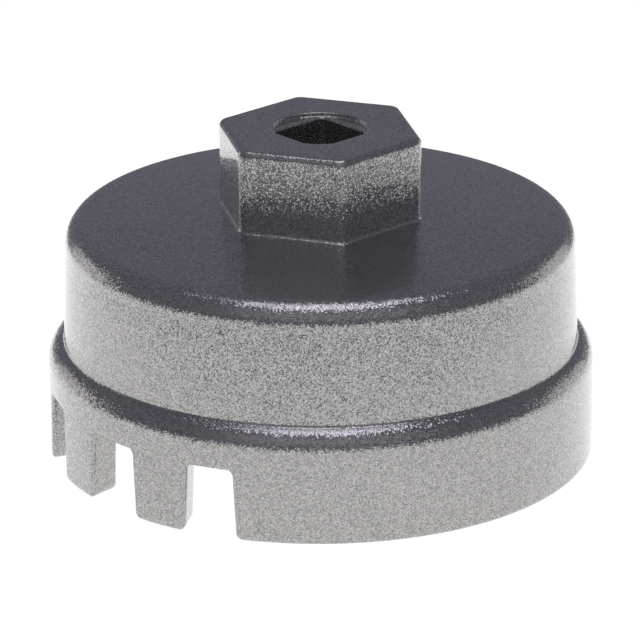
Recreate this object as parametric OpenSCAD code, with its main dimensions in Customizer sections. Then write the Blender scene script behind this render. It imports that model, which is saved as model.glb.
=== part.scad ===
// Cap-style oil filter wrench, a cup-shaped aluminium casting.
// The rim rests on z = 0, the cup opens downwards and the drive hexagon points up.
// The walls of the square socket face along X and Y.
// The real tool is one rigid casting, so each node is one region of that casting,
// and neighbouring regions meet face to face without overlap.

/* [Drive end] */
// Height from the rim to the top of the hexagon
overall_h = 48.9; // [45:0.1:56]
// Hexagon size across flats, for a spanner or socket
hex_af = 27; // [24:0.1:30]
// Diameter across the hexagon's upright corners, which are turned off round
hex_corner_d = 30.6; // [29.5:0.1:31]
// Chamfer round the top of the hexagon
hex_chamfer = 0.7; // [0.2:0.1:1.5]
// Square drive socket across flats, a 3/8 inch drive with clearance
socket_af = 9.7; // [9.6:0.05:10]
// Diameter of the shallow round recess at the socket's mouth
recess_d = 14; // [13.9:0.1:18]
// Depth of that recess
recess_depth = 0.6; // [0.3:0.1:2]

/* [Crown] */
// Height of the dome's centre line above the rim
dome_h = 36.7; // [36:0.1:39]
// How far the dome falls from its centre to the cup's wall
dome_drop = 1.85; // [1.2:0.05:2.6]
// Rounding between the dome and the cup's wall
crown_round = 3.2; // [1.5:0.1:3.5]
// Diameter of the solid hub under the hexagon
hub_d = 35; // [33:0.5:44]

/* [Cup] */
// Outside diameter at the top of the cup
cup_top_d = 74.6; // [73:0.1:75.4]
// Outside diameter where the cup meets the collar
cup_base_d = 75.4; // [75.4:0.1:76.4]
// Inside diameter between the flutes
cup_bore_d = 68; // [67:0.1:69.5]
// Depth of the cup from the rim to its flat ceiling
cup_depth = 31; // [28:0.5:31.5]

/* [Flutes] */
// Number of flutes, the same as on the filter's end cap
flute_count = 14; // [14]
// Diameter across the crests of opposite flutes
flute_crest_d = 64.5; // [63.5:0.1:66]
// Radius of a flute's rounded crest
flute_crest_r = 5.5; // [4:0.1:7]
// Height of the lead-in at the flutes' lower ends
flute_lead_in = 2; // [1:0.1:3]
// How far a flute stands out of the bore at its very end
flute_lip = 0.3; // [0.2:0.1:0.8]

/* [Collar] */
// Outside diameter of the collar
collar_d = 80; // [79:0.1:84]
// Height of the collar's upper edge above the rim
collar_h = 17.1; // [16:0.1:20]
// Rounding of the collar's upper shoulder
shoulder_round = 3.3; // [2.5:0.1:5]
// Inside diameter of the skirt that passes over the filter's can
skirt_bore_d = 70; // [69.5:0.1:71]
// Height of the step where the skirt's bore meets the cup's bore
skirt_bore_h = 12; // [11:0.5:13]
// Rounding of the rim's outer edge
rim_round = 1.0; // [0.3:0.1:2]

/* [Rim notches] */
// Height of the notches above the rim
notch_h = 10.4; // [8:0.1:11.5]
// Angle of the middle of the first group of notches
notch_angle = 178.8; // [170:0.1:185]
// Angle that a group of notches spans, from one long length of skirt to the other
group_span = 61; // [50:0.5:70]
// Angle between the middles of the two tabs that divide a group into three notches
tab_spacing = 26.4; // [24:0.1:30]
// Width of a tab round the outside of the rim
tab_w = 9.6; // [7:0.1:12]
// How far the side walls of a notch lean out of the radial direction, so that it widens inwards
notch_flare = 17; // [0:1:25]
// Draft of those side walls, so that a notch widens towards the rim
notch_draft = 3; // [0:0.5:5]

/* [Hidden] */
$fn = 240;
HEX_SIDES = 6;
MARGIN = 1;
// Angle by which a length of skirt is made too long before its end walls are cut.
SPARE_ANGLE = 3;

top_r = cup_top_d / 2;
base_r = cup_base_d / 2;
bore_r = cup_bore_d / 2;
collar_r = collar_d / 2;
skirt_r = skirt_bore_d / 2;
hub_r = hub_d / 2;
crest_r = flute_crest_d / 2;
pitch = 360 / flute_count;

// The dome is part of a large sphere, and the crown's rounding touches it from inside.
dome_r = (pow(top_r, 2) + pow(dome_drop, 2)) / (2 * dome_drop);
dome_centre_z = dome_h - dome_r;
round_x = top_r - crown_round;
round_z = dome_centre_z + sqrt(pow(dome_r - crown_round, 2) - pow(round_x, 2));
touch_x = round_x * dome_r / (dome_r - crown_round);

// The lead-in is a cone that runs a margin past both ends of the slope.
lead_slope = (bore_r - crest_r) / flute_lead_in;
lead_in_h = flute_lead_in + 2 * MARGIN;
lead_in_r = bore_r - flute_lip + lead_slope * MARGIN;

// The collar's shoulder is round from its outside to where it meets the cup's wall.
shoulder_x = collar_r - shoulder_round;
shoulder_z = collar_h - sqrt(pow(shoulder_round, 2) - pow(base_r - shoulder_x, 2));

// Two groups of notches face each other across the rim, with two tabs in each group.
group_angles = [notch_angle, notch_angle + 180];
tab_angles = [for (g = group_angles, s = [-0.5, 0.5]) g + s * tab_spacing];
arc_angles = [for (g = group_angles) g + 90];
tab_half = asin(tab_w / 2 / collar_r);
arc_half = 90 - group_span / 2;

// Upright hexagon with one corner on +X, from the ceiling of the cup to the top.
module hexagon_bar() {
    translate([0, 0, cup_depth]) intersection() {
        cylinder(d = 2 * hex_af / sqrt(3), h = overall_h - cup_depth, $fn = HEX_SIDES);
        cylinder(d = hex_corner_d, h = overall_h - cup_depth);
    }
}

// Everything below the dome's surface.
module dome_ball() {
    translate([0, 0, dome_centre_z]) sphere(dome_r);
}

// One long bevel that takes the top edge off one flat of the hexagon.
module edge_bevel() {
    translate([hex_af / 2, 0, overall_h]) rotate([0, 45, 0])
        cube([hex_chamfer * sqrt(2), hex_af, hex_chamfer * sqrt(2)], center = true);
}

// Hexagonal drive boss with its hub through the middle of the crown.
module drive_hexagon() {
    color([0.42, 0.42, 0.43]) difference() {
        union() {
            hexagon_bar();
            intersection() {
                translate([0, 0, cup_depth]) cylinder(r = hub_r, h = overall_h - cup_depth);
                dome_ball();
            }
        }
        for (k = [0:HEX_SIDES - 1]) rotate(30 + 60 * k) edge_bevel();
        translate([0, 0, overall_h - recess_depth]) cylinder(d = recess_d, h = recess_depth + MARGIN);
        translate([0, 0, overall_h / 2]) cube([socket_af, socket_af, 2 * overall_h], center = true);
    }
}

// Half section of the crown, from its hub to the cup's wall.
module crown_section() {
    intersection() {
        translate([0, dome_centre_z]) circle(dome_r, $fn = 360);
        translate([hub_r, cup_depth]) square([touch_x - hub_r, overall_h]);
    }
    translate([touch_x, cup_depth]) square([top_r - touch_x, round_z - cup_depth]);
    intersection() {
        translate([round_x, round_z]) circle(crown_round);
        translate([touch_x, round_z]) square(crown_round);
    }
}

// Domed ring that closes the top of the cup round the hub.
module crown() {
    color([0.38, 0.38, 0.40]) rotate_extrude() crown_section();
}

// Slightly tapered wall of the cup above the collar.
module cup_wall() {
    color([0.60, 0.60, 0.60]) difference() {
        translate([0, 0, collar_h]) cylinder(r1 = base_r, r2 = top_r, h = cup_depth - collar_h);
        translate([0, 0, collar_h - MARGIN]) cylinder(r = bore_r, h = cup_depth - collar_h + 2 * MARGIN);
    }
}

// Wider ring at the foot of the cup, with a rounded shoulder.
module collar() {
    color([0.62, 0.62, 0.61]) rotate_extrude() difference() {
        union() {
            translate([bore_r, notch_h]) square([base_r - bore_r, collar_h - notch_h]);
            translate([base_r, notch_h]) square([collar_r - base_r, shoulder_z - notch_h]);
            intersection() {
                translate([shoulder_x, shoulder_z]) circle(shoulder_round);
                translate([base_r, shoulder_z]) square([collar_r - base_r, shoulder_round]);
            }
        }
        square([skirt_r, skirt_bore_h]);
    }
}

// Half section of the skirt below the collar, with its rounded rim.
module skirt_section() {
    translate([skirt_r, 0]) square([collar_r - rim_round - skirt_r, notch_h]);
    translate([collar_r - rim_round, rim_round]) square([rim_round, notch_h - rim_round]);
    intersection() {
        translate([collar_r - rim_round, rim_round]) circle(rim_round);
        translate([collar_r - rim_round, 0]) square(rim_round);
    }
}

// Everything beyond the side wall of a notch. The wall crosses the X axis at the outside of the rim,
// halfway up the notch, and side is 1 where the notch lies towards +Y.
module beyond_wall(side) {
    translate([collar_r, 0, notch_h / 2]) rotate([-side * notch_draft, 0, side * notch_flare])
        translate([-collar_r / 2, min(0, side * collar_d), -collar_r]) cube([collar_r, collar_d, collar_d]);
}

// Length of skirt centred on an angle and half_angle wide each way, between two notches.
module skirt_length(angle, half_angle) {
    color([0.62, 0.62, 0.61]) difference() {
        rotate(angle - half_angle - SPARE_ANGLE)
            rotate_extrude(angle = 2 * (half_angle + SPARE_ANGLE)) skirt_section();
        for (side = [-1, 1]) rotate(angle + side * half_angle) beyond_wall(side);
    }
}

// Rounded rib on the inside of the cup that fits one hollow of the filter's end cap.
// The half turns keep the seams of the round surfaces away from the rib.
module flute(n) {
    color([0.55, 0.55, 0.56]) rotate(notch_angle + n * pitch) difference() {
        translate([0, 0, skirt_bore_h]) linear_extrude(cup_depth - skirt_bore_h) intersection() {
            rotate(180) circle(bore_r);
            translate([crest_r + flute_crest_r, 0]) circle(flute_crest_r);
        }
        translate([0, 0, skirt_bore_h - MARGIN]) rotate(180)
            cylinder(r1 = lead_in_r, r2 = lead_in_r - lead_slope * lead_in_h, h = lead_in_h);
    }
}

drive_hexagon();
crown();
cup_wall();
collar();
skirt_length(arc_angles[0], arc_half);  // skirt_front
skirt_length(arc_angles[1], arc_half);  // skirt_rear
for (n = [0:3]) {
    skirt_length(tab_angles[n], tab_half);
}
for (n = [0:flute_count - 1]) {
    flute(n);
}
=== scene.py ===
"""Cap-style oil filter wrench: a silver-grey painted casting standing on its rim on a white studio floor."""
import math
from collections import namedtuple

import bpy
import numpy as np
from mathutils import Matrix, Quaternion, Vector


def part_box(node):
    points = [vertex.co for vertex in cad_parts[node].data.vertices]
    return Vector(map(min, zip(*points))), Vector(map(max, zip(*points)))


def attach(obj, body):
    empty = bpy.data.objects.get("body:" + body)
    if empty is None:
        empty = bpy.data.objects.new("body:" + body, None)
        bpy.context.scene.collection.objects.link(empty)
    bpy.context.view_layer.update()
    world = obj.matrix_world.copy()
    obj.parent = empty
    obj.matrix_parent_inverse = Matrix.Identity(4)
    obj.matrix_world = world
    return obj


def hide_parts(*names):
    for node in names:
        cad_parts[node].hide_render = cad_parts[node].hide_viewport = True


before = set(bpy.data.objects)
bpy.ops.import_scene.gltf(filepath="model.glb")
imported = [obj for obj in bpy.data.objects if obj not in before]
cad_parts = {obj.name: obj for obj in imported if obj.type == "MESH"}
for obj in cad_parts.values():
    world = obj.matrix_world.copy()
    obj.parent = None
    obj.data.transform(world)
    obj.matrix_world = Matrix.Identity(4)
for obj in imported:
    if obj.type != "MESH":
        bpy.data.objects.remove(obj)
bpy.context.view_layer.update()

MM = 0.001


# ---------------------------------------------------------------- sizes, in millimetres, from the frame
def top_of(node):
    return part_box(node)[1].z / MM


def foot_of(node):
    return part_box(node)[0].z / MM


def reach_of(node):
    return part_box(node)[1].x / MM


def bore_of(node):
    """Smallest distance from the axis to any point of a CAD node."""
    return min(math.hypot(v.co.x, v.co.y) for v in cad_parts[node].data.vertices) / MM


def bearing_of(node):
    """Direction from the axis to the middle of a CAD node, in degrees."""
    low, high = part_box(node)
    middle = (low + high) / 2
    return math.degrees(math.atan2(middle.y, middle.x))


TOP_Z = top_of("drive_hexagon")
HUB_R = reach_of("drive_hexagon")
CEILING_Z = foot_of("crown")
CUP_TOP_R = reach_of("crown")
CUP_BASE_R = reach_of("cup_wall")
CUP_BORE_R = bore_of("cup_wall")
COLLAR_R = reach_of("collar")
COLLAR_Z = top_of("collar")
NOTCH_Z = foot_of("collar")
SKIRT_BORE_R = bore_of("skirt_rear")
FLUTE_FOOT_Z = foot_of("flute_01")
FLUTES = sorted(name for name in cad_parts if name.startswith("flute"))
TABS = sorted(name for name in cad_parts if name.startswith("rim_tab"))
NOTCH_BEARING = bearing_of("flute_01")
CREST_R = min(bore_of(name) for name in FLUTES)

# sizes that the frame's boxes don't give, and edge rounds that only the looks need
HEX_FLAT = 13.5            # from the axis to a flat of the hexagon
HEX_CORNER = 2.0           # rounding of its upright corners
HEX_TOP_ROUND = 0.9
HEX_FOOT_ROUND = 0.45
SOCKET_FLAT = 4.85         # from the axis to a flat of the square socket
SOCKET_CORNER = 0.8
SOCKET_EDGE_ROUND = 0.3
RECESS_R = 7.0
RECESS_DEPTH = 0.6
RECESS_LIP_ROUND = 0.2
RECESS_FLOOR_ROUND = 0.15
DOME_Z = 36.7
DOME_DROP = 1.85
CROWN_ROUND = 3.2
SHOULDER_ROUND = 3.3
WALL_FOOT_ROUND = 0.45     # hollow where the cup's wall rises from the collar
WALL_SEAM_Z = COLLAR_Z + 0.9
STEP_ROUND = 0.3           # where the cup's bore meets the step
STEP_EDGE_ROUND = 0.2      # where the step meets the skirt's bore
RIM_OUTER_ROUND = 0.7
RIM_INNER_ROUND = 0.4
TAB_CORNER = 1.1
TAB_WIDTH = 9.6
TAB_SPACING = 26.4         # degrees between the middles of the two tabs of a group
GROUP_SPAN = 61            # degrees from one long skirt to the other, across a group
NOTCH_CORNER = 0.8
NOTCH_FLARE = 17           # degrees by which a notch's side walls open inwards
NOTCH_DRAFT = 3            # and towards the rim
FLUTE_HALF_WIDTH = 4.5     # round the bore, from a flute's middle to where it runs out
FLUTE_LEAD_IN = 1.9        # height over which a flute's lower end slopes away
FLUTE_END_RISE = 0.06      # share of its full rise that a flute still has at its very end
FLUTE_FULL_AT = 2.1        # height above its foot at which a flute has its full rise
FLUTE_EASE = 0.8           # power that rounds off the lead-in
FLUTE_FULLNESS = 0.9       # power that makes a flute's crest a little fuller than a cosine
FLUTE_SINK = 0.12          # how far a flute's back lies inside the wall
FLUTE_EDGE_SINK = 0.02     # how far its edges do, where it runs out into the bore
AROUND = 480               # columns round the axis on the plain rings
SEAM = 0.05                # width of the narrow strip on each side of the seam at the hub
LEAST_ROUND = 0.05         # a round that is drawn in never gets smaller than this


# ---------------------------------------------------------------- mesh helpers
def add_mesh(name, points, faces, nodes, material, crease=math.radians(38)):
    """One closed piece of the casting from points in millimetres; it stands for the CAD nodes given."""
    mesh = bpy.data.meshes.new(name)
    mesh.from_pydata([tuple(p) for p in np.asarray(points) * MM], [], faces)
    mesh.validate()
    mesh.shade_smooth()
    mesh.set_sharp_from_angle(angle=crease)
    mesh.materials.append(material)
    piece = bpy.data.objects.new(name, mesh)
    bpy.context.scene.collection.objects.link(piece)
    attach(piece, "root")
    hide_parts(*nodes)
    return piece


def loop_faces(rings, columns):
    """Quads of a ring-shaped solid: the section closes on itself, and so do the columns."""
    faces = []
    for i in range(rings):
        a, b = i * columns, (i + 1) % rings * columns
        for j in range(columns):
            k = (j + 1) % columns
            faces.append((a + j, a + k, b + k, b + j))
    return faces


def ring_solid(name, rings, bearings, nodes, material):
    """Ring-shaped solid from a closed section of (radius, height) rings, each a number or one per bearing."""
    turn = np.radians(bearings)
    points = []
    for radius, height in rings:
        r = np.broadcast_to(np.asarray(radius, float), turn.shape)
        z = np.broadcast_to(np.asarray(height, float), turn.shape)
        points.append(np.stack([r * np.cos(turn), r * np.sin(turn), z], axis=1))
    return add_mesh(name, np.concatenate(points), loop_faces(len(rings), len(turn)), nodes, material)


def arc(centre_r, centre_z, radius, start, end, steps):
    """Points of a round in the half section, angles in degrees from the outward direction."""
    turns = np.radians(np.linspace(start, end, steps + 1))
    return [(centre_r + radius * math.cos(t), centre_z + radius * math.sin(t)) for t in turns]


def between(a, b, steps):
    """Points between two points of the half section, both ends left out."""
    return [(a[0] + (b[0] - a[0]) * k / steps, a[1] + (b[1] - a[1]) * k / steps) for k in range(1, steps)]


def polygon_radius(bearings, flat, corner, sides, first_flat):
    """Distance from the axis to a regular polygon with rounded corners, for each bearing in degrees."""
    half = 180 / sides
    off = np.abs((np.asarray(bearings) - first_flat + half) % (2 * half) - half)
    straight = (flat - corner) * math.tan(math.radians(half))
    to_corner = (flat - corner) / math.cos(math.radians(half))
    on_flat = flat / np.cos(np.radians(off))
    aside = np.radians(half - off)
    half_chord = np.sqrt(np.maximum(corner**2 - (to_corner * np.sin(aside)) ** 2, 0))
    on_corner = to_corner * np.cos(aside) + half_chord
    return np.where(flat * np.tan(np.radians(off)) <= straight, on_flat, on_corner)


# ---------------------------------------------------------------- material
FLAKE_SCALE = 6400         # flakes per metre of the surface
FLAKE_TILT = 0.30
DARK_FLAKE = (0.19, 0.188, 0.184, 1)
BRIGHT_FLAKE = (0.54, 0.528, 0.515, 1)


def paint_material():
    """Silver-grey metallic paint: tilted flakes under a glossy clear coat with a trace of orange peel."""
    material = bpy.data.materials.new("metallic_paint")
    material.use_nodes = True
    nodes, links = material.node_tree.nodes, material.node_tree.links
    nodes.clear()
    output = nodes.new("ShaderNodeOutputMaterial")
    shader = nodes.new("ShaderNodeBsdfPrincipled")
    links.new(shader.outputs["BSDF"], output.inputs["Surface"])
    place = nodes.new("ShaderNodeTexCoord")
    geometry = nodes.new("ShaderNodeNewGeometry")

    flakes = nodes.new("ShaderNodeTexVoronoi")
    flakes.inputs["Scale"].default_value = FLAKE_SCALE
    links.new(place.outputs["Object"], flakes.inputs["Vector"])

    # every flake lies at its own small tilt
    centred = nodes.new("ShaderNodeVectorMath")
    centred.operation = "SUBTRACT"
    centred.inputs[1].default_value = (0.5, 0.5, 0.5)
    links.new(flakes.outputs["Color"], centred.inputs[0])
    tilt = nodes.new("ShaderNodeVectorMath")
    tilt.operation = "SCALE"
    tilt.inputs["Scale"].default_value = FLAKE_TILT
    links.new(centred.outputs[0], tilt.inputs[0])
    lean = nodes.new("ShaderNodeVectorMath")
    lean.operation = "ADD"
    links.new(geometry.outputs["Normal"], lean.inputs[0])
    links.new(tilt.outputs[0], lean.inputs[1])
    normal = nodes.new("ShaderNodeVectorMath")
    normal.operation = "NORMALIZE"
    links.new(lean.outputs[0], normal.inputs[0])
    links.new(normal.outputs[0], shader.inputs["Normal"])

    # and its own brightness
    split = nodes.new("ShaderNodeSeparateColor")
    links.new(flakes.outputs["Color"], split.inputs[0])
    shade = nodes.new("ShaderNodeValToRGB")
    shade.color_ramp.elements[0].color = DARK_FLAKE
    shade.color_ramp.elements[1].color = BRIGHT_FLAKE
    links.new(split.outputs[1], shade.inputs["Fac"])
    links.new(shade.outputs["Color"], shader.inputs["Base Color"])

    # clear coat that is not perfectly level
    peel = nodes.new("ShaderNodeTexNoise")
    peel.inputs["Scale"].default_value = 420
    peel.inputs["Detail"].default_value = 2
    links.new(place.outputs["Object"], peel.inputs["Vector"])
    peel_bump = nodes.new("ShaderNodeBump")
    peel_bump.inputs["Strength"].default_value = 0.04
    peel_bump.inputs["Distance"].default_value = 0.0002
    links.new(peel.outputs["Fac"], peel_bump.inputs["Height"])
    links.new(peel_bump.outputs["Normal"], shader.inputs["Coat Normal"])

    shader.inputs["Metallic"].default_value = 0.88
    shader.inputs["Roughness"].default_value = 0.10
    shader.inputs["Coat Weight"].default_value = 1.0
    shader.inputs["Coat Roughness"].default_value = 0.06
    shader.inputs["Coat IOR"].default_value = 1.5
    return material


paint = paint_material()


# ---------------------------------------------------------------- crown and dome
dome_radius = (CUP_TOP_R**2 + DOME_DROP**2) / (2 * DOME_DROP)
dome_centre_z = DOME_Z - dome_radius


def dome_z(radius):
    """Height of the dome's surface at a distance from the axis."""
    return dome_centre_z + np.sqrt(dome_radius**2 - np.asarray(radius, float) ** 2)


def wall_r(z):
    """Outside radius of the tapered cup wall at a height."""
    share = (z - COLLAR_Z) / (CEILING_Z - COLLAR_Z)
    return CUP_BASE_R + (CUP_TOP_R - CUP_BASE_R) * share


def make_crown():
    """Domed ring from the cup's wall, over its rounded edge, to the seam at the hub."""
    round_r = CUP_TOP_R - CROWN_ROUND
    round_z = dome_centre_z + math.sqrt((dome_radius - CROWN_ROUND) ** 2 - round_r**2)
    touch = math.degrees(math.acos(round_r / (dome_radius - CROWN_ROUND)))
    wall_top = (CUP_TOP_R, round_z)
    wall_foot = (wall_r(CEILING_Z), CEILING_Z)
    section = [wall_foot, *between(wall_foot, wall_top, 4)]
    section += arc(round_r, round_z, CROWN_ROUND, 0, touch, 22)
    edge_r = section[-1][0]
    section += [(r, float(dome_z(r))) for r in np.linspace(edge_r, HUB_R + SEAM, 16)[1:]]
    section += [(HUB_R, float(dome_z(HUB_R)))]
    hub_foot = (HUB_R, CEILING_Z)
    section += between(section[-1], hub_foot, 3) + [hub_foot]
    section += between(hub_foot, wall_foot, 10)
    bearings = np.arange(AROUND) * 360 / AROUND
    return ring_solid("crown", section, bearings, ["crown"], paint)


def make_cup_wall():
    """Tapered wall between the collar's stub and the crown."""
    outer_foot = (wall_r(WALL_SEAM_Z), WALL_SEAM_Z)
    outer_top = (wall_r(CEILING_Z), CEILING_Z)
    inner_top = (CUP_BORE_R, CEILING_Z)
    inner_foot = (CUP_BORE_R, WALL_SEAM_Z)
    section = [outer_foot, *between(outer_foot, outer_top, 12), outer_top]
    section += between(outer_top, inner_top, 3) + [inner_top]
    section += between(inner_top, inner_foot, 12) + [inner_foot]
    section += between(inner_foot, outer_foot, 3)
    bearings = np.arange(AROUND) * 360 / AROUND
    return ring_solid("cup_wall", section, bearings, ["cup_wall"], paint)


# ---------------------------------------------------------------- drive hexagon and its hub
def drive_bearings():
    """Bearings round the hub, closer together at the corners of the hexagon and of the socket."""
    fine, coarse = 0.35, 1.5
    near_hexagon_corner, near_socket_corner = 3.2, 4.2
    marks = [0.0]
    while marks[-1] < 360:
        here = marks[-1]
        to_hex = min(here % 60, 60 - here % 60)
        to_square = min((here - 45) % 90, 90 - (here - 45) % 90)
        at_corner = to_hex < near_hexagon_corner or to_square < near_socket_corner
        marks.append(here + (fine if at_corner else coarse))
    marks = np.array(marks[:-1])
    return marks * 360 / (marks[-1] + (marks[1] - marks[0]))


def make_drive():
    """Hub, hexagon and socket as one ring: up the outside, over the top and down the socket."""
    bearings = drive_bearings()

    def hexagon(inset):
        return polygon_radius(bearings, HEX_FLAT - inset, max(HEX_CORNER - inset, LEAST_ROUND), 6, 30)

    def square(inset):
        return polygon_radius(bearings, SOCKET_FLAT - inset, max(SOCKET_CORNER - inset, LEAST_ROUND), 4, 0)

    def mixed(a, b, share):
        return a + (b - a) * share

    rings = [(mixed(square(0), HUB_R, k / 6), CEILING_Z) for k in range(7)]
    hub_edge = float(dome_z(HUB_R))
    rings += [(HUB_R, mixed(CEILING_Z, hub_edge, k / 3)) for k in range(1, 4)]
    rings += [(HUB_R - SEAM, dome_z(HUB_R - SEAM))]

    # dome, then a small hollow round up to the flats
    foot = hexagon(-HEX_FOOT_ROUND)
    for k in range(1, 5):
        r = mixed(HUB_R - SEAM, foot, k / 5)
        rings.append((r, dome_z(r)))
    foot_z = dome_z(foot)
    for turn in np.radians(np.linspace(0, 90, 9)):
        r = hexagon(-HEX_FOOT_ROUND * (1 - math.sin(turn)))
        rings.append((r, foot_z + HEX_FOOT_ROUND * (1 - math.cos(turn))))
    side_foot = foot_z + HEX_FOOT_ROUND
    side_top = TOP_Z - HEX_TOP_ROUND
    rings += [(hexagon(0), mixed(side_foot, side_top, k / 8)) for k in range(1, 9)]
    for turn in np.radians(np.linspace(0, 90, 10))[1:]:
        inset = HEX_TOP_ROUND * (1 - math.cos(turn))
        rings.append((hexagon(inset), side_top + HEX_TOP_ROUND * math.sin(turn)))

    # level top, then the shallow round recess at the socket's mouth
    top_edge = hexagon(HEX_TOP_ROUND)
    lip, fillet, edge = RECESS_LIP_ROUND, RECESS_FLOOR_ROUND, SOCKET_EDGE_ROUND
    floor_z = TOP_Z - RECESS_DEPTH
    rings += [(mixed(top_edge, RECESS_R + lip, k / 5), TOP_Z) for k in range(1, 6)]
    rings += arc(RECESS_R + lip, TOP_Z - lip, lip, 90, 180, 8)[1:]
    rings += arc(RECESS_R - fillet, floor_z + fillet, fillet, 0, -90, 4)[1:]
    mouth = square(-edge)
    rings += [(mixed(RECESS_R - fillet, mouth, k / 3), floor_z) for k in (1, 2)]
    for turn in np.radians(np.linspace(0, 90, 6)):
        rings.append((square(-edge * (1 - math.sin(turn))), floor_z - edge * (1 - math.cos(turn))))
    wall_from = floor_z - edge
    rings += [(square(0), mixed(wall_from, CEILING_Z, k / 8)) for k in range(1, 8)]
    return ring_solid("drive_hexagon", rings, bearings, ["drive_hexagon"], paint)


# ---------------------------------------------------------------- collar with the notched skirt
# The skirt is a grid laid out flat, s millimetres round the rim and z up from it, with the cells of the
# notches left out. The same grid drawn in by an inset gives each line of the rounded edges, and drawn at
# a depth below the outside it gives the flared side walls of the notches.
NOTCH = "notch"
METAL = "metal"
CORNER_STEPS = 7
COLUMN_SPACING = 0.55
NOTCH_COLUMNS = 8          # columns between the two corners of a notch

# One column of the grid lies in the stretch of metal or notch from left to right. Near an end (share 0 or 1)
# it keeps its distance away from that end, and between the corners (away None) it keeps its share.
Column = namedtuple("Column", "left right share away stuff")


def rim_stretches():
    """Start and end, along the rim, of every stretch of metal between two notches."""
    half_tab = math.degrees(math.asin(TAB_WIDTH / 2 / COLLAR_R))
    stretches = []
    for group in (NOTCH_BEARING, NOTCH_BEARING + 180):
        for middle in (group - TAB_SPACING / 2, group + TAB_SPACING / 2):
            stretches.append((middle - half_tab, middle + half_tab))
        stretches.append((group + GROUP_SPAN / 2, group + 180 - GROUP_SPAN / 2))
    return [(math.radians(a) * COLLAR_R, math.radians(b) * COLLAR_R) for a, b in stretches]


def stretch_columns(left, right, corner, stuff, between_count):
    """Columns of one stretch, both ends included, with between_count of them between the corners."""
    near = np.linspace(0, corner, CORNER_STEPS)
    shares = np.linspace(0, 1, between_count + 2)[1:-1]
    columns = [Column(left, right, 0, away, stuff) for away in near]
    columns += [Column(left, right, share, None, stuff) for share in shares]
    columns += [Column(left, right, 1, away, stuff) for away in near[::-1]]
    return columns


def rim_columns():
    """Columns of the whole rim. A notch shares its end columns with the metal on either side."""
    columns = []
    stretches = rim_stretches()
    starts = [start for start, end in stretches]
    starts.append(starts[0] + 2 * math.pi * COLLAR_R)
    for n, (start, end) in enumerate(stretches):
        count = int((end - start) / COLUMN_SPACING)
        columns += stretch_columns(start, end, TAB_CORNER, METAL, count)
        columns += stretch_columns(end, starts[n + 1], NOTCH_CORNER, NOTCH, NOTCH_COLUMNS)[1:-1]
    return columns


def rim_rows(above):
    """Heights of the grid's rows, from the rim to the given height above the notches."""
    low = np.linspace(0, TAB_CORNER, CORNER_STEPS)
    middle = np.linspace(TAB_CORNER, NOTCH_Z - NOTCH_CORNER, 10)[1:-1]
    corner = np.linspace(NOTCH_Z - NOTCH_CORNER, NOTCH_Z, CORNER_STEPS)
    high = np.linspace(NOTCH_Z, NOTCH_Z + above, 7)[1:]
    return np.concatenate([low, middle, corner, high])


def to_round(a, b, radius):
    """Where a point of a square corner, measured from its inner point, lands on the round corner."""
    return a * math.sqrt(1 - b * b / (2 * radius**2)), b * math.sqrt(1 - a * a / (2 * radius**2))


def row_height(row, inset, above):
    """Height of a row of the grid when the outline is drawn in by inset."""
    if row <= TAB_CORNER:
        return inset + row * (TAB_CORNER - inset) / TAB_CORNER
    if row > NOTCH_Z:
        return NOTCH_Z + inset + (row - NOTCH_Z) * (above - inset) / above
    if row > NOTCH_Z - NOTCH_CORNER:
        return row + (row - NOTCH_Z + NOTCH_CORNER) * inset / NOTCH_CORNER
    return row


def rim_point(column, row, inset, above, depth):
    """(s, z) of a point of the grid when the outline is drawn in by inset, at a depth below the outside."""
    is_metal = column.stuff == METAL
    corner, inward = (TAB_CORNER, 1) if is_metal else (NOTCH_CORNER, -1)
    z = row_height(row, inset, above)
    flare = depth * math.tan(math.radians(NOTCH_FLARE)) * COLLAR_R / (COLLAR_R - depth)
    draft = (NOTCH_Z / 2 - min(z, NOTCH_Z)) * math.tan(math.radians(NOTCH_DRAFT))
    left = column.left + inward * (flare + draft)
    right = column.right - inward * (flare + draft)
    if column.away is None:
        return left + corner + (right - left - 2 * corner) * column.share, z

    away = inward * inset + column.away * (corner - inward * inset) / corner
    if is_metal and row <= TAB_CORNER:
        radius = TAB_CORNER - inset
        a, b = to_round(radius * (1 - column.away / TAB_CORNER), radius * (1 - row / TAB_CORNER), radius)
        away, z = TAB_CORNER - a, TAB_CORNER - b
    elif is_metal and column.away == 0 and NOTCH_Z - NOTCH_CORNER <= row <= NOTCH_Z:
        radius = NOTCH_CORNER + inset
        a, b = to_round(radius, radius * (row - NOTCH_Z + NOTCH_CORNER) / NOTCH_CORNER, radius)
        away, z = a - NOTCH_CORNER, NOTCH_Z - NOTCH_CORNER + b
    elif not is_metal and row == NOTCH_Z:
        radius = NOTCH_CORNER + inset
        a, b = to_round(radius * (1 - column.away / NOTCH_CORNER), radius, radius)
        away, z = NOTCH_CORNER - a, NOTCH_Z - NOTCH_CORNER + b
    return (left + away if column.share == 0 else right - away), z


class MeshParts:
    """Points and faces of one solid while it is put together."""

    def __init__(self):
        self.points, self.faces = [], []

    def add(self, s, radius, z):
        turn = s / COLLAR_R
        self.points.append((radius * math.cos(turn), radius * math.sin(turn), z))
        return len(self.points) - 1

    def strip(self, low, high, flip=False):
        """Quads between two closed lines of points."""
        for i in range(len(low)):
            k = (i + 1) % len(low)
            quad = (low[i], low[k], high[k], high[i])
            self.faces.append(quad[::-1] if flip else quad)


def rim_outline(columns, notch_row):
    """Grid places along the rim's lower edge, up and over every notch, as (column, row) numbers."""
    path = []
    for i, column in enumerate(columns):
        before, after = columns[i - 1].stuff, columns[(i + 1) % len(columns)].stuff
        if column.stuff == NOTCH:
            path.append((i, notch_row))
        elif before == NOTCH:
            path += [(i, j) for j in range(notch_row, -1, -1)]
        elif after == NOTCH:
            path += [(i, j) for j in range(0, notch_row + 1)]
        else:
            path.append((i, 0))
    return path


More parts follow.
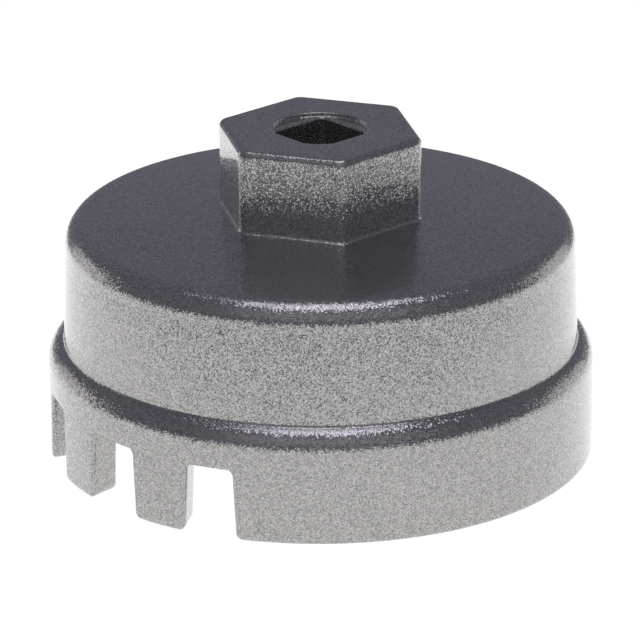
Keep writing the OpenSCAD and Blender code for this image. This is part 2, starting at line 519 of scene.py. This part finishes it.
def skirt_face(parts, columns, rows, notch_row, radius, inset, flip):
    """One face of the skirt, outer or inner. Returns the number of each grid point."""
    number = {}
    for i, column in enumerate(columns):
        first = notch_row if column.stuff == NOTCH else 0
        for j in range(first, len(rows)):
            s, z = rim_point(column, rows[j], inset, rows[-1] - NOTCH_Z, COLLAR_R - radius)
            number[i, j] = parts.add(s, radius, z)
    for i in range(len(columns)):
        k = (i + 1) % len(columns)
        first = notch_row if NOTCH in (columns[i].stuff, columns[k].stuff) else 0
        for j in range(first, len(rows) - 1):
            quad = (number[i, j], number[k, j], number[k, j + 1], number[i, j + 1])
            parts.faces.append(quad[::-1] if flip else quad)
    return number


def rim_line(parts, columns, rows, path, inset, radius):
    """Closed line of points along the rim's outline, drawn in by inset, at a distance from the axis."""
    line = []
    for i, j in path:
        s, z = rim_point(columns[i], rows[j], inset, rows[-1] - NOTCH_Z, COLLAR_R - radius)
        line.append(parts.add(s, radius, z))
    return line


def rim_edge_steps():
    """(inset, radius) of the lines across the rim, between its outer face and its inner one."""
    steps = []
    for turn in np.radians(np.linspace(0, 90, 7))[1:]:
        inset, depth = RIM_OUTER_ROUND * (1 - math.sin(turn)), RIM_OUTER_ROUND * (1 - math.cos(turn))
        steps.append((inset, COLLAR_R - depth))
    flat = np.linspace(COLLAR_R - RIM_OUTER_ROUND, SKIRT_BORE_R + RIM_INNER_ROUND, 5)[1:-1]
    steps += [(0, radius) for radius in flat]
    for turn in np.radians(np.linspace(90, 0, 5))[:-1]:
        inset, depth = RIM_INNER_ROUND * (1 - math.sin(turn)), RIM_INNER_ROUND * (1 - math.cos(turn))
        steps.append((inset, SKIRT_BORE_R + depth))
    return steps


def collar_section(shoulder_r, shoulder_z):
    """Half section from the outer face over the shoulder and the wall's stub, down to the skirt's bore."""
    # hollow round that touches both the shoulder and the cup's wall
    hollow_r = wall_r(COLLAR_Z) + WALL_FOOT_ROUND
    hollow_z = shoulder_z + math.sqrt((SHOULDER_ROUND + WALL_FOOT_ROUND) ** 2 - (hollow_r - shoulder_r) ** 2)
    touch = math.degrees(math.atan2(hollow_z - shoulder_z, hollow_r - shoulder_r))
    section = arc(shoulder_r, shoulder_z, SHOULDER_ROUND, 0, touch, 18)[1:]
    section += arc(hollow_r, hollow_z, WALL_FOOT_ROUND, touch + 180, 180, 6)[1:]

    wall_top, bore_top = (wall_r(WALL_SEAM_Z), WALL_SEAM_Z), (CUP_BORE_R, WALL_SEAM_Z)
    step_top = (CUP_BORE_R, FLUTE_FOOT_Z + STEP_ROUND)
    section += between(section[-1], wall_top, 3) + [wall_top]
    section += between(wall_top, bore_top, 3) + [bore_top]
    section += between(bore_top, step_top, 6)
    section += arc(CUP_BORE_R + STEP_ROUND, FLUTE_FOOT_Z + STEP_ROUND, STEP_ROUND, 180, 270, 4)
    edge_r, edge_z = SKIRT_BORE_R - STEP_EDGE_ROUND, FLUTE_FOOT_Z - STEP_EDGE_ROUND
    return section + arc(edge_r, edge_z, STEP_EDGE_ROUND, 90, 0, 4)[:-1]


def make_collar():
    """Collar and notched skirt in one mesh: outer face, rounded edges, inner face and shoulder."""
    columns = rim_columns()
    shoulder_r = COLLAR_R - SHOULDER_ROUND
    shoulder_z = COLLAR_Z - math.sqrt(SHOULDER_ROUND**2 - (CUP_BASE_R - shoulder_r) ** 2)
    rows_out = rim_rows(shoulder_z - NOTCH_Z)
    rows_in = rim_rows(FLUTE_FOOT_Z - STEP_EDGE_ROUND - NOTCH_Z)
    notch_row = int(np.argmin(np.abs(rows_out - NOTCH_Z)))
    parts = MeshParts()
    outer = skirt_face(parts, columns, rows_out, notch_row, COLLAR_R, RIM_OUTER_ROUND, False)
    inner = skirt_face(parts, columns, rows_in, notch_row, SKIRT_BORE_R, RIM_INNER_ROUND, True)

    # rounded edge from the outer face to the inner one, along the rim and over the notches
    path = rim_outline(columns, notch_row)
    lines = [[outer[place] for place in path]]
    lines += [rim_line(parts, columns, rows_out, path, inset, radius) for inset, radius in rim_edge_steps()]
    lines.append([inner[place] for place in path])
    for low, high in zip(lines, lines[1:]):
        parts.strip(low, high, flip=True)

    # from the top of the outer face round to the top of the inner one
    above = rows_out[-1] - NOTCH_Z
    line = [outer[i, len(rows_out) - 1] for i in range(len(columns))]
    section = collar_section(shoulder_r, shoulder_z)
    for n, (radius, z) in enumerate(section):
        share = (n + 1) / (len(section) + 1)
        inset = RIM_OUTER_ROUND + (RIM_INNER_ROUND - RIM_OUTER_ROUND) * share
        depth = (COLLAR_R - SKIRT_BORE_R) * share
        upper = [parts.add(rim_point(c, rows_out[-1], inset, above, depth)[0], radius, z) for c in columns]
        parts.strip(line, upper)
        line = upper
    parts.strip(line, [inner[i, len(rows_in) - 1] for i in range(len(columns))])
    replaced = ["collar", "skirt_front", "skirt_rear", *TABS]
    return add_mesh("collar", parts.points, parts.faces, replaced, paint)


# ---------------------------------------------------------------- flutes
def make_flute(name):
    """Rib with a rounded crest that runs out smoothly into the bore and slopes away at its lower end."""
    middle = math.radians(bearing_of(name))
    across = np.linspace(-1, 1, 33)
    foot = FLUTE_FOOT_Z + STEP_ROUND
    lead_in = foot + FLUTE_LEAD_IN * np.linspace(0, 1, 9)
    heights = np.concatenate([lead_in, np.linspace(lead_in[-1] + 0.5, CEILING_Z, 24)])
    swell = (0.5 + 0.5 * np.cos(np.pi * across)) ** FLUTE_FULLNESS * (CUP_BORE_R - CREST_R)
    points, faces = [], []
    for z in heights:
        share = min(max((z - foot) / FLUTE_FULL_AT, 0), 1)
        ease = math.sin(share * math.pi / 2) ** FLUTE_EASE if share > 0 else 0
        for back in (False, True):
            for x, h in zip(across, swell):
                turn = middle + x * FLUTE_HALF_WIDTH / CUP_BORE_R
                rise = h * (FLUTE_END_RISE + (1 - FLUTE_END_RISE) * ease)
                r = CUP_BORE_R + (FLUTE_SINK if back else FLUTE_EDGE_SINK - rise)
                points.append((r * math.cos(turn), r * math.sin(turn), z))
    n = len(across)
    per_level = 2 * n
    loop = list(range(n)) + [n + k for k in range(n - 1, -1, -1)]
    for level in range(len(heights) - 1):
        a, b = level * per_level, (level + 1) * per_level
        for k in range(len(loop)):
            p, q = loop[k], loop[(k + 1) % len(loop)]
            faces.append((a + q, a + p, b + p, b + q))
    for level, flip in ((0, False), (len(heights) - 1, True)):
        base = level * per_level
        for k in range(n - 1):
            quad = (base + k, base + k + 1, base + n + k + 1, base + n + k)
            faces.append(quad[::-1] if flip else quad)
    return add_mesh(name, points, faces, [name], paint)


# ---------------------------------------------------------------- the casting
make_drive()
make_crown()
make_cup_wall()
make_collar()
for flute_name in FLUTES:
    make_flute(flute_name)


# ---------------------------------------------------------------- floor, light and camera
FLOOR_RADIUS = 0.21        # metres; the paint mirrors the darker studio beyond it
FLOOR_GREY = 0.15


def floor_material():
    """White that glows of its own. It can be looked through from below."""
    material = bpy.data.materials.new("studio_white")
    material.use_nodes = True
    nodes, links = material.node_tree.nodes, material.node_tree.links
    nodes.clear()
    output = nodes.new("ShaderNodeOutputMaterial")
    shader = nodes.new("ShaderNodeBsdfPrincipled")
    shader.inputs["Base Color"].default_value = (FLOOR_GREY, FLOOR_GREY, FLOOR_GREY, 1)
    shader.inputs["Roughness"].default_value = 0.9
    shader.inputs["Specular IOR Level"].default_value = 0.0
    shader.inputs["Emission Color"].default_value = (1, 1, 1, 1)
    shader.inputs["Emission Strength"].default_value = 1.0
    clear = nodes.new("ShaderNodeBsdfTransparent")
    mix = nodes.new("ShaderNodeMixShader")
    sides = nodes.new("ShaderNodeNewGeometry")
    links.new(sides.outputs["Backfacing"], mix.inputs["Fac"])
    links.new(shader.outputs["BSDF"], mix.inputs[1])
    links.new(clear.outputs["BSDF"], mix.inputs[2])
    links.new(mix.outputs["Shader"], output.inputs["Surface"])
    return material


def make_floor():
    """Round white table top, lit from within a little as in a light box."""
    around = 96
    points = [(0, 0, 0)] + [(FLOOR_RADIUS * math.cos(t), FLOOR_RADIUS * math.sin(t), 0)
                            for t in np.radians(np.arange(around) * 360 / around)]
    faces = [(0, 1 + k, 1 + (k + 1) % around) for k in range(around)]
    mesh = bpy.data.meshes.new("studio_floor")
    mesh.from_pydata(points, [], faces)
    mesh.materials.append(floor_material())
    floor = bpy.data.objects.new("studio_floor", mesh)
    bpy.context.scene.collection.objects.link(floor)


def make_world():
    """Dim studio round the object; the camera itself sees plain white beyond the floor."""
    world = bpy.data.worlds.new("studio")
    bpy.context.scene.world = world
    world.use_nodes = True
    nodes, links = world.node_tree.nodes, world.node_tree.links
    nodes.clear()
    output = nodes.new("ShaderNodeOutputWorld")
    dim, white = nodes.new("ShaderNodeBackground"), nodes.new("ShaderNodeBackground")
    dim.inputs["Color"].default_value = (0.165, 0.16, 0.195, 1)
    white.inputs["Color"].default_value = (1, 1, 1, 1)
    path = nodes.new("ShaderNodeLightPath")
    mix = nodes.new("ShaderNodeMixShader")
    links.new(path.outputs["Is Camera Ray"], mix.inputs["Fac"])
    links.new(dim.outputs["Background"], mix.inputs[1])
    links.new(white.outputs["Background"], mix.inputs[2])
    links.new(mix.outputs["Shader"], output.inputs["Surface"])


CAMERA_AZIMUTH = -42.3
CAMERA_ELEVATION = 20.61
CAMERA_DISTANCE = 0.9
CAMERA_LENS = 344.9
CAMERA_AIM = Vector((-0.00007, 0.00007, 0.01914))
CAMERA_ROLL = -0.24


def direction(azimuth, elevation):
    """From the object towards a place at an azimuth seen from the camera's side, and an elevation."""
    a, e = math.radians(CAMERA_AZIMUTH + azimuth), math.radians(elevation)
    return Vector((math.sin(a) * math.cos(e), -math.cos(a) * math.cos(e), math.sin(e)))


def soft_light(name, azimuth, elevation, distance, size, power, colour):
    """Rectangular light that faces the object; lengths in metres and power in watts."""
    light = bpy.data.lights.new(name, "AREA")
    light.shape = "RECTANGLE"
    light.size, light.size_y = size
    light.energy = power
    light.color = colour
    lamp = bpy.data.objects.new(name, light)
    towards = direction(azimuth, elevation)
    lamp.location = CAMERA_AIM + towards * distance
    lamp.rotation_mode = "QUATERNION"
    lamp.rotation_quaternion = towards.to_track_quat("Z", "Y")
    lamp.visible_camera = False
    bpy.context.scene.collection.objects.link(lamp)


def make_camera():
    """Long lens from a little above, level apart from a trace of roll."""
    camera = bpy.data.cameras.new("camera")
    camera.lens = CAMERA_LENS
    camera.clip_start, camera.clip_end = 0.05, 20
    holder = bpy.data.objects.new("camera", camera)
    back = direction(0, CAMERA_ELEVATION)
    holder.location = CAMERA_AIM + back * CAMERA_DISTANCE
    holder.rotation_mode = "QUATERNION"
    holder.rotation_quaternion = Quaternion(back, math.radians(CAMERA_ROLL)) @ back.to_track_quat("Z", "Y")
    bpy.context.scene.collection.objects.link(holder)
    bpy.context.scene.camera = holder


make_floor()
make_world()
make_camera()
soft_light("overhead", 0, 88, 0.9, (0.55, 0.55), 1.6, (0.90, 0.87, 1.0))
for side, side_azimuth in (("left", -125), ("right", 125)):
    soft_light(side + "_softbox", side_azimuth, 5, 1.0, (0.6, 0.5), 0.6, (1.0, 0.97, 0.95))
soft_light("front_fill", 0, 40, 1.3, (1.8, 1.2), 1.3, (0.95, 0.93, 1.0))
bpy.context.scene.view_settings.view_transform = "Standard"
